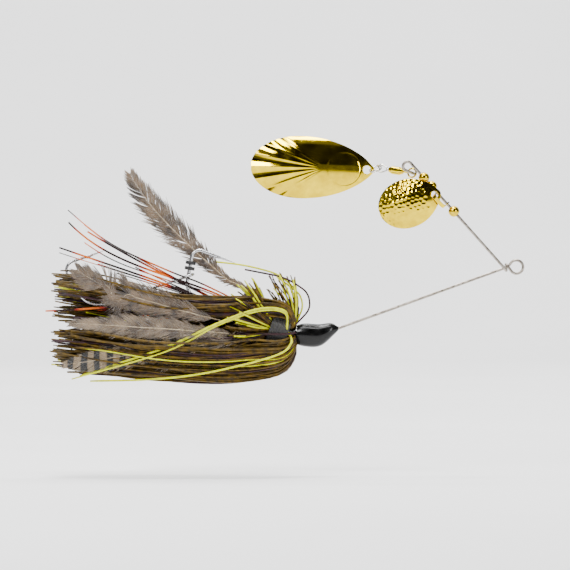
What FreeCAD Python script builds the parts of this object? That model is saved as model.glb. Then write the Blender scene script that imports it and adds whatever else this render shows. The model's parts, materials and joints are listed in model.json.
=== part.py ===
import FreeCAD, Part
import math
import os
from FreeCAD import Vector

# Pike spinnerbait, in millimetres. The line-tie eye's centre is the origin, +X is the way the lure swims,
# +Z is up and +Y is the far side. Lower arm, head and both hooks lie in the plane Y = 0.

# ---------------------------------------------------------------- driving sizes
# spring wire and its two arms
WIRE_D = 1.2
LOWER_ARM = 90.0  # line-tie neck to the hook eye cast in the head
LOWER_RISE = 19.9  # degrees above level, towards the line tie
UPPER_ARM = 61.0
UPPER_ANGLE = 131.7  # degrees from +X
EYE_R = 2.9  # line-tie eye, to the middle of the wire
EYE_NECK = 3.6  # eye's centre to the crossing of its neck
WRAP_PITCH = 1.7
WRAP_GAP = 0.06
WIRE_TAIL = 3.2  # wire beyond the hook eye, inside the head
END_LOOP_R = 1.95
END_LOOP_TURN = 207.6
END_LEG = 5.4
END_LEG_LEAN = 30.0  # the cut end leans to the far side

# main hook
MAIN_WIRE_D = 1.6
MAIN_SHANK = 58.4
MAIN_GAPE = 21.3
MAIN_LEAN = 3.7  # how far the back of the bend leans away from the eye
MAIN_POINT = 19.3  # from the top of the bend forward to the tip
MAIN_RISE = 20.0  # the shank's rise towards the bend, degrees
MAIN_EYE_R = 2.5
MAIN_EYE_LIFT = 2.5  # eye's centre above the shank's line
EYE_SWAGE = 1.06  # hook eyes are pressed a little thicker than their wire

# stinger hook and its rubber keepers
STINGER_WIRE_D = 1.25
STINGER_SHANK = 45.5
STINGER_GAPE = 21.9
STINGER_LEAN = 5.3
STINGER_POINT = 20.0
STINGER_DROP = 18.4  # the stinger's shank falls towards its bend, degrees
STINGER_EYE_R = 2.2
STINGER_SEAT = 9.2  # up the back of the main hook
KEEPER_D = 4.4
KEEPER_THICK = 1.5
KEEPER_PITCH = 2.4
KEEPER_OFF = 3.4  # stinger's seat to the lower keeper

# head, collar and tying thread
HEAD_SWELL = 1.0  # scales the head's section
HEAD_NOSE = 11.8  # hook eye to the nose
COLLAR_D = 5.6
COLLAR_END = 20.5  # hook eye to the collar's end
TIE_AT = 10.8  # hook eye to the front of the skirt's tie
THREAD_LENGTH = 8.2
THREAD_THICK = 0.9

# beads
BEAD_D = 4.76
BEAD_BORE_GAP = 0.06
BEAD_1_AT = 8.5  # from the top of the upper arm
BEAD_SPACE = 0.15
STOP_BEAD_AT = 28.0

# folded clevis
CLEVIS_AT = 17.0  # upper leg, from the top of the arm
CLEVIS_WIDTH = 6.6
CLEVIS_DEPTH = 6.4
CLEVIS_STRAP = 1.6
CLEVIS_SHEET = 0.5
CLEVIS_CORNER = 1.8
CLEVIS_EAR = 1.35
CLEVIS_TURN = 68.0  # round the arm, towards the near side

# blades
SHEET = 0.6
SMALL_LENGTH = 28.2
SMALL_WIDTH = 21.5
SMALL_TAIL = 12.5  # widest station to the tail
SMALL_HOLE_R = 1.5
SMALL_HOLE_AT = 2.6
SMALL_ARCH_LONG = 32.0
SMALL_ARCH_CROSS = 17.0
SMALL_ANGLE = 198.0
SMALL_LEAN = 8.0  # the tail leans to the far side, degrees
SMALL_HANG = 4.05  # hole's place on the clevis leg
BIG_LENGTH = 54.2
BIG_WIDTH = 27.5
BIG_TAIL = 21.5
BIG_HOLE_R = 1.8
BIG_HOLE_AT = 3.3
BIG_ARCH_LONG = 85.0
BIG_ARCH_CROSS = 24.0
BIG_ANGLE = 177.7

# barrel swivel and split ring
SWIVEL_AT = 3.5  # ring's centre along the arm's cut end
SWIVEL_ANGLE = 170.9
SWIVEL_DEPTH = 25.0  # leans to the far side, degrees
SWIVEL_WIRE_D = 0.75
SWIVEL_EYE_R = 1.9
SWIVEL_STEM_D = 0.9
BARREL_AT = 4.3
BARREL_LENGTH = 6.6
BARREL_D = 3.5
BARREL_WALL = 1.0
SPIN_GAP = 0.06
STEM_HEAD_D = 1.9
STEM_HEAD_LONG = 0.8
REAR_EYE_R = 1.6
REAR_EYE_LONG = 3.9
REAR_EYE_AT = 15.9
RING_R = 2.7
RING_WIRE_D = 0.5
RING_PITCH = 0.53
RING_TURNS = 1.9
RING_ANGLE = 193.4
RING_DEPTH = 8.0
RING_TILT = 66.0
LINK_GAP = 0.5

# skirt, feathers and flash, as plain envelopes
LOCK_COUNT = 10
LOCK_ROOT_R = 0.9
LOCK_BODY_R = 2.4
LOCK_GAP_TOP = 40.0  # half the opening left over the hook, degrees
LOCK_GAP_LOW = 24.0
SHORT_END = 5.5
FEATHER_THICK = 0.8
QUILL_D = 0.7
FLASH_WIDTH = 0.9
FLASH_THICK = 0.3
STRAND_D = 0.8
SEAT = 0.3  # soft pieces stand this far off what carries them
CAST_GAP = 0.01


# ---------------------------------------------------------------- helpers
def polar(degrees, length=1.0, y=0.0):
    """A vector in the XZ plane, at an angle from +X towards +Z, with a Y of its own."""
    a = math.radians(degrees)
    return Vector(length * math.cos(a), y, length * math.sin(a))


def leaning(degrees, lean):
    """A unit vector at an angle in the XZ plane, leaning to the far side."""
    return polar(degrees, math.cos(math.radians(lean)), math.sin(math.radians(lean)))


def unit(v):
    return v * (1.0 / v.Length)


def rounded_path(points, share=0.45, radii=None):
    """Straight runs joined by tangent arcs. A corner takes a share of its shorter run, or its own radius."""
    edges = []
    start = points[0]
    for i in range(1, len(points) - 1):
        before, corner, after = points[i - 1], points[i], points[i + 1]
        d_in = unit(corner - before)
        d_out = unit(after - corner)
        half = 0.5 * math.acos(max(-1.0, min(1.0, d_in.dot(d_out))))
        if half < 0.002:
            continue
        reach = share * min((corner - before).Length, (after - corner).Length)
        if radii and i in radii:
            reach = min(reach, radii[i] * math.tan(half))
        radius = reach / math.tan(half)
        inward = unit(d_out - d_in)
        arc_start = corner - d_in * reach
        arc_end = corner + d_out * reach
        middle = corner + inward * (radius / math.cos(half) - radius)
        if (arc_start - start).Length > 1e-4:
            edges.append(Part.LineSegment(start, arc_start).toShape())
        edges.append(Part.Arc(arc_start, middle, arc_end).toShape())
        start = arc_end
    edges.append(Part.LineSegment(start, points[-1]).toShape())
    return Part.Wire(edges)


def rod(points, diameter, share=0.45, radii=None):
    """Round wire bent along a route."""
    path = rounded_path(points, share, radii)
    section = Part.Wire([Part.makeCircle(diameter / 2, points[0], points[1] - points[0])])
    return path.makePipeShell([section], True, False)


def cylinder(start, direction, length, radius):
    return Part.makeCylinder(radius, length, start, direction)


def torus(centre, axis, ring_r, wire_r):
    return Part.makeTorus(ring_r, wire_r, centre, axis)


def placed(shape, origin, x_axis, z_axis):
    """Moves a shape drawn at the origin so that its X and Z lie along two square axes."""
    x = unit(x_axis)
    z = unit(z_axis)
    y = z.cross(x)
    matrix = FreeCAD.Matrix(
        x.x, y.x, z.x, origin.x,
        x.y, y.y, z.y, origin.y,
        x.z, y.z, z.z, origin.z,
        0, 0, 0, 1,
    )
    moved = shape.copy()
    moved.Placement = FreeCAD.Placement(matrix) * shape.Placement
    return moved


def square_to(v, axis):
    """The part of a vector square to an axis, as a unit vector."""
    return unit(v - axis * v.dot(axis))


# ---------------------------------------------------------------- frames the pieces share
FORWARD = polar(LOWER_RISE)
LOWER_UP = polar(LOWER_RISE + 90)
NECK = Vector(-EYE_NECK, 0, 0)
HOOK_EYE = NECK - FORWARD * LOWER_ARM
SHANK = polar(180 - MAIN_RISE)
SHANK_UP = polar(90 - MAIN_RISE)
WRAP_R = WIRE_D + WRAP_GAP
ARM_FOOT = NECK - FORWARD * WRAP_PITCH + Vector(0, -WRAP_R, 0)
ARM = polar(UPPER_ANGLE)
ARM_TOP = ARM_FOOT + ARM * UPPER_ARM
FAR = Vector(0, 1, 0)


def on_shank(along, up, y=0.0):
    """A point from the shank's line: along it from the hook eye, up square to it, and to the far side."""
    return HOOK_EYE + SHANK * along + SHANK_UP * (up - MAIN_EYE_LIFT) + Vector(0, y, 0)


def on_arm(down, out=Vector(0, 0, 0)):
    return ARM_TOP - ARM * down + out


# ---------------------------------------------------------------- spring wire
def hook_anchor():
    """The wire's hidden end: a step through the hook eye that locks it in the lead."""
    step = MAIN_WIRE_D / 2 + WIRE_D / 2 + 0.25
    return [
        HOOK_EYE - FORWARD * WIRE_TAIL + Vector(0, step, 0),
        HOOK_EYE + Vector(0, step, 0),
        HOOK_EYE + Vector(0, -step, 0),
        HOOK_EYE + FORWARD * (WIRE_TAIL + 0.6) + Vector(0, -step, 0),
        HOOK_EYE + FORWARD * (WIRE_TAIL + 3.2),
    ]


def eye_and_wrap():
    """Round the line-tie eye, across the neck in front, then once round the lower arm."""
    points = [NECK]
    tangent = math.degrees(math.asin(EYE_R / EYE_NECK))
    sweep = 180 + 2 * tangent
    corners = 8
    step = sweep / corners
    rim = EYE_R / math.cos(math.radians(step / 2))
    for i in range(corners):
        angle = 90 + tangent - step * (i + 0.5)
        points.append(polar(angle, rim, -WRAP_R * (i + 0.5) / corners))
    turns = 8
    rim = WRAP_R / math.cos(math.radians(180 / turns))
    for i in range(turns):
        angle = math.radians(360 * (i + 0.5) / turns)
        along = WRAP_PITCH * (i + 0.5) / turns
        side = Vector(0, -rim * math.cos(angle), 0) + LOWER_UP * (rim * math.sin(angle))
        points.append(NECK - FORWARD * along + side)
    return points


def end_loop():
    """The arm's top: a left-hand loop whose cut end leans clear of the arm."""
    corners = 5
    step = END_LOOP_TURN / corners
    tangent = END_LOOP_R * math.tan(math.radians(step / 2))
    leans = [0, 0, 4, 14]
    points = [ARM_TOP + ARM * tangent]
    for i, lean in enumerate(leans):
        heading = UPPER_ANGLE + step * (i + 1)
        points.append(points[-1] + leaning(heading, lean) * (2 * tangent))
    points.append(points[-1] + leg_direction() * (tangent + END_LEG))
    return points


def leg_direction():
    return leaning(UPPER_ANGLE + END_LOOP_TURN, END_LEG_LEAN)


def leg_point(along):
    """A point on the cut end, from the end of the loop."""
    return end_loop()[-1] - leg_direction() * (END_LEG - along)


def wire_route():
    return hook_anchor() + eye_and_wrap() + [ARM_FOOT + ARM * 1.2] + end_loop()


def wire_form(gap=0.0):
    return rod(wire_route(), WIRE_D + 2 * gap, 0.49)


# ---------------------------------------------------------------- hooks
def hook_point(base, tip, wire_d, up):
    """A needle point with a barb cut up on the inner side."""
    d = unit(tip - base)
    length = (tip - base).Length
    needle = Part.makeCone(wire_d / 2, 0.06, length, base, d)
    heel = base + d * (0.1 * length)
    barb_tip = base - up * (0.85 * wire_d) - d * (0.12 * length)
    root = base + d * (0.62 * length)
    half = wire_d * 0.16
    outline = [heel, barb_tip, root]
    wire = Part.makePolygon([p - FAR * half for p in outline + outline[:1]])
    barb = Part.Face(wire).extrude(FAR * (2 * half))
    return needle.fuse(barb)


def bent_hook(origin, along, up, line, shank, gape, lean, point, wire_d, start, bends):
    """A hook in one plane: shank, leaning back, and the point run parallel to the shank."""
    def at(s, n):
        return origin + along * s + up * (n + line)

    needle = 6.5 * wire_d
    tip = at(shank + lean - point, gape)
    base = tip + along * needle
    route = start + [at(shank, 0), at(shank + lean, gape), base]
    n = len(route)
    wire = rod(route, wire_d, 0.45, {n - 3: bends[0], n - 2: bends[1]})
    return wire.fuse(hook_point(base, tip, wire_d, up))


def eye_exit():
    """Where the shank's wire leaves the main hook's eye."""
    return HOOK_EYE + unit(SHANK - SHANK_UP * 0.5) * MAIN_EYE_R


def main_hook():
    start = [eye_exit(), on_shank(4.6, 0)]
    body = bent_hook(
        HOOK_EYE, SHANK, SHANK_UP, -MAIN_EYE_LIFT, MAIN_SHANK, MAIN_GAPE, MAIN_LEAN,
        MAIN_POINT, MAIN_WIRE_D, start, (9.0, 5.0),
    )
    return body.fuse(torus(HOOK_EYE, FAR, MAIN_EYE_R, MAIN_WIRE_D / 2 * EYE_SWAGE))


def main_back():
    """Foot and direction of the main hook's back, where the stinger and its keepers ride."""
    foot = on_shank(MAIN_SHANK, 0)
    head = on_shank(MAIN_SHANK + MAIN_LEAN, MAIN_GAPE)
    return foot, unit(head - foot)


def stinger_seat():
    foot, back = main_back()
    return foot + back * STINGER_SEAT


def stinger_hook():
    seat = stinger_seat()
    along = polar(180 + STINGER_DROP)
    up = polar(90 + STINGER_DROP)
    body = bent_hook(
        seat, along, up, 0.0, STINGER_SHANK, STINGER_GAPE, STINGER_LEAN,
        STINGER_POINT, STINGER_WIRE_D, [seat + along * STINGER_EYE_R], (10.0, 6.0),
    )
    return body.fuse(torus(seat, up, STINGER_EYE_R, STINGER_WIRE_D / 2 * EYE_SWAGE))


def keeper(index):
    foot, back = main_back()
    middle = stinger_seat() + back * (KEEPER_OFF + KEEPER_PITCH * index)
    disc = cylinder(middle - back * (KEEPER_THICK / 2), back, KEEPER_THICK, KEEPER_D / 2)
    rims = [e for e in disc.Edges if e.Curve.TypeId == "Part::GeomCircle"]
    disc = disc.makeFillet(0.3, rims)
    bore = cylinder(middle - back * KEEPER_THICK, back, 2 * KEEPER_THICK, MAIN_WIRE_D / 2 + 0.04)
    return disc.cut(bore)


# ---------------------------------------------------------------- head and thread
def oval(x, top, bottom, half_width):
    """An upright oval section square to X."""
    tall = (top - bottom) / 2
    middle = Vector(x, 0, (top + bottom) / 2)
    ellipse = Part.Ellipse(middle + Vector(0, 0, tall), middle + Vector(0, half_width, 0), middle)
    return Part.Wire([ellipse.toShape()])


def head():
    """Bullet head of cast lead round the hook eye, with a collar for the skirt."""
    nose = HOOK_EYE + FORWARD * HEAD_NOSE
    axis_z = HOOK_EYE.z + 0.9
    k = HEAD_SWELL
    stations = [
        (nose.x, 0.85, 0.75, 0.72),
        (nose.x - 1.0, 1.2, 1.9, 1.4),
        (nose.x - 3.2, 2.3, 4.1, 2.8),
    ]
    sections = [oval(x, nose.z + k * t, nose.z - k * b, k * w) for x, t, b, w in stations]
    body = [
        (HOOK_EYE.x + 3.4, 5.0, 4.5, 3.9),
        (HOOK_EYE.x - 1.3, 5.2, 5.1, 4.3),
        (HOOK_EYE.x - 5.0, 5.1, 4.6, 4.0),
        (HOOK_EYE.x - 7.0, 4.4, 3.8, 3.5),
    ]
    sections += [oval(x, axis_z + k * t, axis_z - k * b, k * w) for x, t, b, w in body]
    bullet = Part.makeLoft(sections, True, False, False, 3)
    collar_start = 5.0
    collar = cylinder(on_shank(collar_start, 0), SHANK, COLLAR_END - collar_start, COLLAR_D / 2)
    lump = bullet.fuse(collar)
    hook_room = cylinder(on_shank(4.6, 0), SHANK, COLLAR_END, MAIN_WIRE_D / 2 + CAST_GAP)
    eye_room = torus(HOOK_EYE, FAR, MAIN_EYE_R, MAIN_WIRE_D / 2 * EYE_SWAGE + CAST_GAP)
    neck_room = rod([eye_exit(), on_shank(4.6, 0), on_shank(9, 0)], MAIN_WIRE_D + 2 * CAST_GAP)
    anchor = hook_anchor() + [HOOK_EYE + FORWARD * (HEAD_NOSE + 8)]
    wire_room = rod(anchor, WIRE_D + 2 * CAST_GAP, 0.49)
    for room in (neck_room, hook_room, eye_room, wire_room):
        lump = lump.cut(room)
    return lump


def lock_root_radius():
    """Middle of the strands where they lie on the collar."""
    return COLLAR_D / 2 + 0.15 + LOCK_ROOT_R


def thread_wrap():
    """Tying thread: a wound band over the strands, with shallow turns."""
    inner = lock_root_radius() + LOCK_ROOT_R + 0.1
    start = on_shank(TIE_AT, 0)
    band = cylinder(start, SHANK, THREAD_LENGTH, inner + THREAD_THICK)
    band = band.cut(cylinder(start - SHANK, SHANK, THREAD_LENGTH + 2, inner))
    turns = 7
    for i in range(1, turns):
        middle = start + SHANK * (THREAD_LENGTH * i / turns)
        band = band.cut(torus(middle, SHANK, inner + THREAD_THICK + 0.12, 0.3))
    return band


# ---------------------------------------------------------------- beads and clevis
def bead(down):
    middle = on_arm(down)
    ball = Part.makeSphere(BEAD_D / 2, middle)
    bore = cylinder(middle - ARM * BEAD_D, ARM, 2 * BEAD_D, WIRE_D / 2 + BEAD_BORE_GAP)
    return ball.cut(bore)


def stop_bead():
    """The bead crimped on the wire that the clevis turns against."""
    middle = on_arm(STOP_BEAD_AT)
    ball = Part.makeSphere(BEAD_D / 2, middle)
    return ball.cut(cylinder(middle - ARM * BEAD_D, ARM, 2 * BEAD_D, WIRE_D / 2 + CAST_GAP))


def clevis_out():
    """Way from the arm to the clevis bow, turned round the arm."""
    turn = math.radians(CLEVIS_TURN)
    return polar(UPPER_ANGLE + 90) * math.cos(turn) - FAR * math.sin(turn)


def clevis():
    """A folded strap: two drilled ears on the arm and a bow that carries the blade."""
    out = clevis_out()
    side = ARM.cross(out)
    upper = on_arm(CLEVIS_AT)
    lower = on_arm(CLEVIS_AT + CLEVIS_WIDTH)
    route = [upper, upper + out * CLEVIS_DEPTH, lower + out * CLEVIS_DEPTH, lower]
    path = rounded_path(route, 0.45, {1: CLEVIS_CORNER, 2: CLEVIS_CORNER})
    half_w = side * (CLEVIS_STRAP / 2)
    half_t = ARM * (CLEVIS_SHEET / 2)
    corners = [upper - half_w - half_t, upper + half_w - half_t, upper + half_w + half_t, upper - half_w + half_t]
    strap = path.makePipeShell([Part.makePolygon(corners + corners[:1])], True, False)
    for ear in (upper, lower):
        strap = strap.fuse(cylinder(ear - half_t, ARM, CLEVIS_SHEET, CLEVIS_EAR))
    bore = cylinder(lower - ARM * 2, ARM, CLEVIS_WIDTH + 4, WIRE_D / 2 + 0.08)
    return strap.cut(bore).removeSplitter()


# ---------------------------------------------------------------- blades
def cupped_sheet(arch_long, arch_cross, half_long, half_wide):
    """A sheet cupped both ways, its top at the origin, X along the blade and the bulge towards +Z."""
    spread = math.asin(min(0.98, half_wide / arch_cross))
    turn = math.asin(min(0.98, half_long / arch_long))
    pivot = arch_long - arch_cross
    rings = []
    for radius in (arch_cross, arch_cross - SHEET):
        ends = []
        for a in (-spread, 0.0, spread):
            ends.append(Vector(0, radius * math.sin(a), radius * math.cos(a) - arch_cross))
        rings.append(ends)
    outer, inner = rings
    profile = Part.Wire([
        Part.Arc(outer[0], outer[1], outer[2]).toShape(),
        Part.LineSegment(outer[2], inner[2]).toShape(),
        Part.Arc(inner[2], inner[1], inner[0]).toShape(),
        Part.LineSegment(inner[0], outer[0]).toShape(),
    ])
    face = Part.Face(profile)
    centre = Vector(0, 0, -arch_cross - pivot)
    degrees = math.degrees(turn)
    face.rotate(centre, Vector(0, 1, 0), -degrees)
    return face.revolve(centre, Vector(0, 1, 0), 2 * degrees)


def blade_half_width(x, length, width, tail):
    """Half the width at a distance from the pointed end."""
    widest = length - tail
    if x < widest:
        return width / 2 * math.sin(math.pi / 2 * (x / widest) ** 0.72)
    return width / 2 * math.sqrt(max(0.0, 1 - ((x - widest) / tail) ** 2))


def blade(length, width, tail, hole_r, hole_at, arch_long, arch_cross):
    """A cupped blade drawn with its hole's middle at the origin and its tail towards +X."""
    sheet = cupped_sheet(arch_long, arch_cross, length * 0.62, width * 0.56)
    sheet.translate(Vector(length * 0.5, 0, 0))
    side = []
    steps = 12
    for i in range(1, steps):
        x = length * 0.5 * (1 - math.cos(math.pi * i / steps))
        side.append(Vector(x, blade_half_width(x, length, width, tail), 0))
    mirror = [Vector(p.x, -p.y, 0) for p in reversed(side)]
    loop = [Vector(0, 0, 0)] + side + [Vector(length, 0, 0)] + mirror
    curve = Part.BSplineCurve()
    curve.interpolate(loop, PeriodicFlag=True)
    outline = Part.Face(Part.Wire([curve.toShape()]))
    outline.translate(Vector(0, 0, -length))
    cut = sheet.common(outline.extrude(Vector(0, 0, 2 * length)))
    depth = arch_long - math.sqrt(arch_long ** 2 - (length * 0.5 - hole_at) ** 2)
    tilt = math.asin((length * 0.5 - hole_at) / arch_long)
    normal = Vector(-math.sin(tilt), 0, math.cos(tilt))
    middle = Vector(hole_at, 0, -depth) - normal * (SHEET / 2)
    drilled = cut.cut(cylinder(middle - normal * 4, normal, 8, hole_r))
    drilled.translate(middle * -1)
    return drilled


def small_hole():
    return on_arm(CLEVIS_AT, clevis_out() * SMALL_HANG)


def small_blade():
    shape = blade(
        SMALL_LENGTH, SMALL_WIDTH, SMALL_TAIL, SMALL_HOLE_R, SMALL_HOLE_AT, SMALL_ARCH_LONG, SMALL_ARCH_CROSS,
    )
    along = leaning(SMALL_ANGLE, SMALL_LEAN)
    return placed(shape, small_hole(), along, square_to(FAR * -1, along))


# ---------------------------------------------------------------- swivel, split ring, big blade
def swivel_axis():
    return leaning(SWIVEL_ANGLE, SWIVEL_DEPTH)


def swivel_normal():
    return square_to(FAR, swivel_axis())


def swivel_centre():
    return leg_point(SWIVEL_AT)


def swivel_point(along):
    return swivel_centre() + swivel_axis() * along


def stem(start, length, axis):
    return cylinder(start, axis, length, SWIVEL_STEM_D / 2)


def swivel_front_eye():
    axis = swivel_axis()
    ring = torus(swivel_centre(), swivel_normal(), SWIVEL_EYE_R, SWIVEL_WIRE_D / 2)
    head_at = BARREL_AT + BARREL_WALL + SPIN_GAP
    pin = stem(swivel_point(SWIVEL_EYE_R), head_at - SWIVEL_EYE_R + 0.1, axis)
    button = cylinder(swivel_point(head_at), axis, STEM_HEAD_LONG, STEM_HEAD_D / 2)
    return ring.fuse(pin).fuse(button).removeSplitter()


def swivel_barrel():
    """A hollow barrel that keeps both stems' heads inside and turns freely on them."""
    axis = swivel_axis()
    nose_r = BARREL_D / 2 * 0.62
    taper = BARREL_LENGTH * 0.24
    a = BARREL_AT
    b = BARREL_AT + BARREL_LENGTH
    outline = [
        Vector(0, 0, a), Vector(nose_r, 0, a), Vector(BARREL_D / 2, 0, a + taper),
        Vector(BARREL_D / 2, 0, b - taper), Vector(nose_r, 0, b), Vector(0, 0, b), Vector(0, 0, a),
    ]
    solid = Part.Face(Part.makePolygon(outline)).revolve(Vector(0, 0, 0), Vector(0, 0, 1), 360)
    cavity = Part.makeCylinder(
        STEM_HEAD_D / 2 + SPIN_GAP * 2, BARREL_LENGTH - 2 * BARREL_WALL, Vector(0, 0, a + BARREL_WALL),
    )
    bore = Part.makeCylinder(SWIVEL_STEM_D / 2 + SPIN_GAP, BARREL_LENGTH + 2, Vector(0, 0, a - 1))
    shell = solid.cut(cavity).cut(bore)
    return placed(shell, swivel_centre(), swivel_normal(), axis)


def swivel_rear_eye():
    axis = swivel_axis()
    side = swivel_normal().cross(axis)
    near = swivel_point(REAR_EYE_AT - REAR_EYE_LONG)
    far_end = swivel_point(REAR_EYE_AT)
    waist = side * (REAR_EYE_R * 0.35)
    flare = side * REAR_EYE_R
    route = [
        near, near + waist, near + axis * 1.9 + flare, far_end + flare,
        far_end - flare, near + axis * 1.9 - flare, near - waist, near,
    ]
    path = rounded_path(route, 0.45, {3: REAR_EYE_R * 0.98, 4: REAR_EYE_R * 0.98})
    section = Part.Wire([Part.makeCircle(SWIVEL_WIRE_D / 2, near, waist)])
    loop = path.makePipeShell([section], True, False)
    head_at = BARREL_AT + BARREL_LENGTH - BARREL_WALL - SPIN_GAP - STEM_HEAD_LONG
    button = cylinder(swivel_point(head_at), axis, STEM_HEAD_LONG, STEM_HEAD_D / 2)
    pin = stem(swivel_point(head_at + 0.2), REAR_EYE_AT - REAR_EYE_LONG - head_at - 0.1, axis)
    return loop.fuse(pin).fuse(button).removeSplitter()


def ring_way():
    return leaning(RING_ANGLE, RING_DEPTH)


def ring_side():
    """Tangent of the split ring where it carries the blade."""
    up = square_to(Vector(0, 0, 1), ring_way())
    depth = ring_way().cross(up)
    tilt = math.radians(RING_TILT)
    return up * math.cos(tilt) + depth * math.sin(tilt)


def ring_reach():
    return RING_R - (SWIVEL_WIRE_D + RING_WIRE_D) / 2 - LINK_GAP


def ring_centre():
    return swivel_point(REAR_EYE_AT) + ring_way() * ring_reach()


def split_ring():
    height = RING_PITCH * RING_TURNS
    helix = Part.makeLongHelix(RING_PITCH, height, RING_R)
    section = Part.Wire([Part.makeCircle(RING_WIRE_D / 2, Vector(RING_R, 0, 0), Vector(0, 1, 0))])
    coil = Part.Wire(helix).makePipeShell([section], True, True)
    coil.translate(Vector(0, 0, -height / 2))
    normal = ring_way().cross(ring_side())
    return placed(coil, ring_centre(), ring_side(), normal)


def big_hole():
    inside = RING_R - RING_WIRE_D / 2 - LINK_GAP
    return ring_centre() + ring_way() * inside + polar(BIG_ANGLE) * BIG_HOLE_R


def big_blade():
    shape = blade(BIG_LENGTH, BIG_WIDTH, BIG_TAIL, BIG_HOLE_R, BIG_HOLE_AT, BIG_ARCH_LONG, BIG_ARCH_CROSS)
    return placed(shape, big_hole(), polar(BIG_ANGLE), FAR * -1)


# ---------------------------------------------------------------- skirt locks and loose strands
def tapered_tail(points, radii):
    """A soft bundle's tail: round sections square to X, lofted."""
    sections = [Part.Wire([Part.makeCircle(r, p, Vector(-1, 0, 0))]) for p, r in zip(points, radii)]
    return Part.makeLoft(sections, True, False, False, 3)


def around_shank(along, radius, angle):
    """A point round the shank; the angle runs from the top towards the near side."""
    a = math.radians(angle)
    return on_shank(along, radius * math.cos(a), -radius * math.sin(a))


# skirt's outside at five stations: X from the hook eye, top and bottom above it, half depth
SKIRT_STATIONS = [
    (-28.0, 22.5, -19.5, 12.5),
    (-50.0, 22.0, -21.0, 14.5),
    (-74.0, 26.0, -19.5, 14.0),
    (-96.0, 32.0, -17.0, 12.0),
    (-114.0, 34.5, -15.0, 10.0),
]


def skirt_spot(station, angle, inset):
    x, top, bottom, depth = SKIRT_STATIONS[station]
    a = math.radians(angle)
    tall = (top - bottom) / 2 - inset
    wide = depth - inset
    return HOOK_EYE + Vector(x, -wide * math.sin(a), (top + bottom) / 2 + tall * math.cos(a))


def lock_angle(index):
    """Half the locks hang on the near side and half on the far side, from the top gap down to the low one."""
    half = LOCK_COUNT // 2
    span = 180 - LOCK_GAP_TOP - LOCK_GAP_LOW
    angle = LOCK_GAP_TOP + span * (index % half) / (half - 1)
    return angle if index < half else -angle


def skirt_lock(index):
    """Strands tied under the thread: a short cut end behind, a fold in front, a long tail back over it."""
    angle = lock_angle(index)
    root = lock_root_radius()
    outer = root + 2 * LOCK_ROOT_R + 0.1 + THREAD_THICK + SEAT
    back = TIE_AT + THREAD_LENGTH
    tail = [skirt_spot(i, angle, LOCK_BODY_R) for i in range(len(SKIRT_STATIONS))]
    route = [
        around_shank(back + SHORT_END, root + 0.9, angle),
        around_shank(back + 2, root, angle),
        around_shank(TIE_AT - 2.1, root, angle),
        around_shank(TIE_AT - 2.1, outer, angle),
        around_shank(TIE_AT + 1.5, outer, angle),
        around_shank(back, outer + 1.0, angle),
        tail[0] + unit(tail[1] - tail[0]) * 1.5,
    ]
    roots = rod(route, 2 * LOCK_ROOT_R, 0.49, {2: 1.9, 3: 1.9})
    radii = [LOCK_ROOT_R * 1.4, LOCK_BODY_R, LOCK_BODY_R, LOCK_BODY_R * 0.8, LOCK_BODY_R * 0.35]
    return roots.fuse(tapered_tail(tail, radii))


def loose_strand(angle, rise, spots):
    """One strand pulled out of the top of the tie: up over the front and back along the lure."""
    root = lock_root_radius() - LOCK_ROOT_R + STRAND_D / 2
    points = [
        around_shank(TIE_AT + THREAD_LENGTH - 1, root, angle),
        around_shank(TIE_AT, root, angle),
        around_shank(TIE_AT - 1.8, root + 2.0, angle),
    ]
    foot = points[-1]
    for x, z, y in spots:
        points.append(Vector(foot.x + x, y, foot.z + z * rise))
    return rod(points, STRAND_D, 0.45)


# ---------------------------------------------------------------- feathers and flash
def leaf(spine, width, thick, y, profile):
    """A flat blade of barbs along a curved spine, standing in a plane of constant Y."""
    curve = Part.BSplineCurve()
    curve.interpolate([Vector(p.x, 0, p.z) for p in spine])
    first = curve.FirstParameter
    last = curve.LastParameter
    left = []
    right = []
    steps = len(profile) - 1
    for i, share in enumerate(profile):
        u = first + (last - first) * i / steps
        p = curve.value(u)
        t = curve.tangent(u)[0]
        side = Vector(-t.z, 0, t.x) * (width * share / 2)
        left.append(p + side)
        right.append(p - side)
    edges = []
    for row in (left, list(reversed(right))):
        run = Part.BSplineCurve()
        run.interpolate(row)
        edges.append(run.toShape())
    edges.insert(1, Part.LineSegment(left[-1], right[-1]).toShape())
    edges.append(Part.LineSegment(right[0], left[0]).toShape())
    face = Part.Face(Part.Wire(edges))
    face.translate(Vector(0, y - thick / 2, 0))
    return face.extrude(Vector(0, thick, 0))


FEATHER_PROFILE = [0.10, 0.55, 0.85, 1.0, 0.95, 0.75, 0.45, 0.08]
STRIP_PROFILE = [1.0, 1.0, 1.0, 0.8]


def feather(root, spine, width, y):
    """Vane and quill: the quill runs forward to the back of the collar."""
    vane = leaf(spine, width, FEATHER_THICK, y, FEATHER_PROFILE)
    first = spine[0]
    inward = unit(spine[1] - spine[0])
    enter = Vector(first.x, y, first.z)
    route = [quill_root(*root), on_shank(COLLAR_END + 5, root[0] * 1.2, root[1] * 1.2), enter]
    return vane.fuse(rod(route + [enter + inward * (width * 0.35)], QUILL_D))


def quill_root(up, y):
    return on_shank(COLLAR_END + SEAT, up, y)


def tail_spot(back, rise):
    """A point behind the hook eye and above it, in the plane Y = 0."""
    return HOOK_EYE + Vector(-back, 0, rise)


def feather_upright():
    spine = [tail_spot(35.0, 23.5), tail_spot(50.0, 36.5), tail_spot(64.0, 50.5), tail_spot(79.5, 72.5)]
    vane = leaf(spine, 10.6, FEATHER_THICK, 3.6, FEATHER_PROFILE)
    route = [
        quill_root(1.5, 1.2), on_shank(25.5, 5.0, 1.2), on_shank(31.5, 13.5, 2.9),
        spine[0] + Vector(0, 3.6, 0), (spine[0] + spine[1]) * 0.5 + Vector(0, 3.6, 0),
    ]
    return vane.fuse(rod(route, QUILL_D))


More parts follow.
